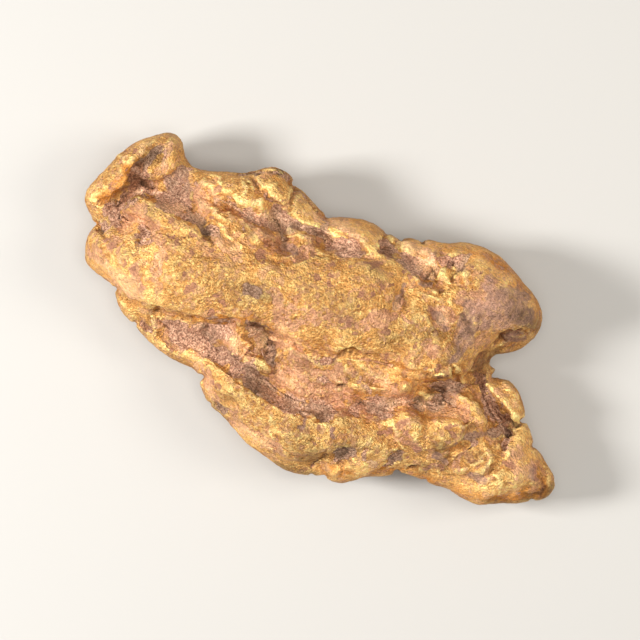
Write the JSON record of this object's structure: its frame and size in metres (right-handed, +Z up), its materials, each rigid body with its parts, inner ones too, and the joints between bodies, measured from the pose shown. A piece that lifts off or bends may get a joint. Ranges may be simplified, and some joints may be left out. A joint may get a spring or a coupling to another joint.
{
  "type": "gold nugget",
  "caption": "Flat, elongated, water-worn gold nugget with a folded end flap, rounded lobes, earthy hollows and a pointed toe.",
  "frame": {"origin": "centre of the bounding box, on the ground that the nugget lies on", "axes": "+X along the nugget from the folded flap to the pointed toe, +Y across it towards the broad shoulder, +Z up out of the face that shows"},
  "size_m": [0.0158, 0.0084, 0.0043],
  "materials": {
    "native_gold": "worn native gold with a fine hammered grain, and an earthy iron-brown film in the hollows"
  },
  "bodies": {
    "root": {"nugget": "native_gold"}
  },
  "joints": []
}
